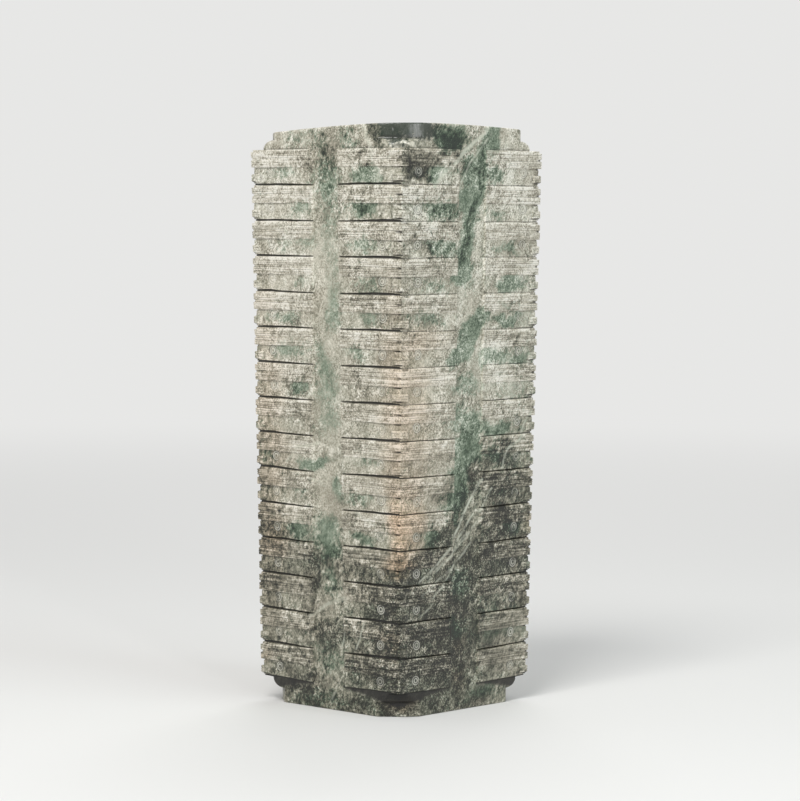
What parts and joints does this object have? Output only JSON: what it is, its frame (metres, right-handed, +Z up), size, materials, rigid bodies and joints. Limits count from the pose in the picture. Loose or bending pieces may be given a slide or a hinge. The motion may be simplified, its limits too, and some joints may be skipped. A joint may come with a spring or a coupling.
{
  "type": "cong tube",
  "caption": "Square tapering jade tube with a round bore from end to end, carved in tiers round its corners, with a plain band up each face and a collar at each end.",
  "frame": {"origin": "middle of the flat foot, on the line of the bore", "axes": "+Z up along the tube, X and Y square to its faces"},
  "size_m": [0.1222, 0.1222, 0.34],
  "materials": {
    "jade": "satin, worn polish, mottled grey-green to cream"
  },
  "bodies": {
    "root": {"cong_tube": "jade"}
  },
  "joints": []
}
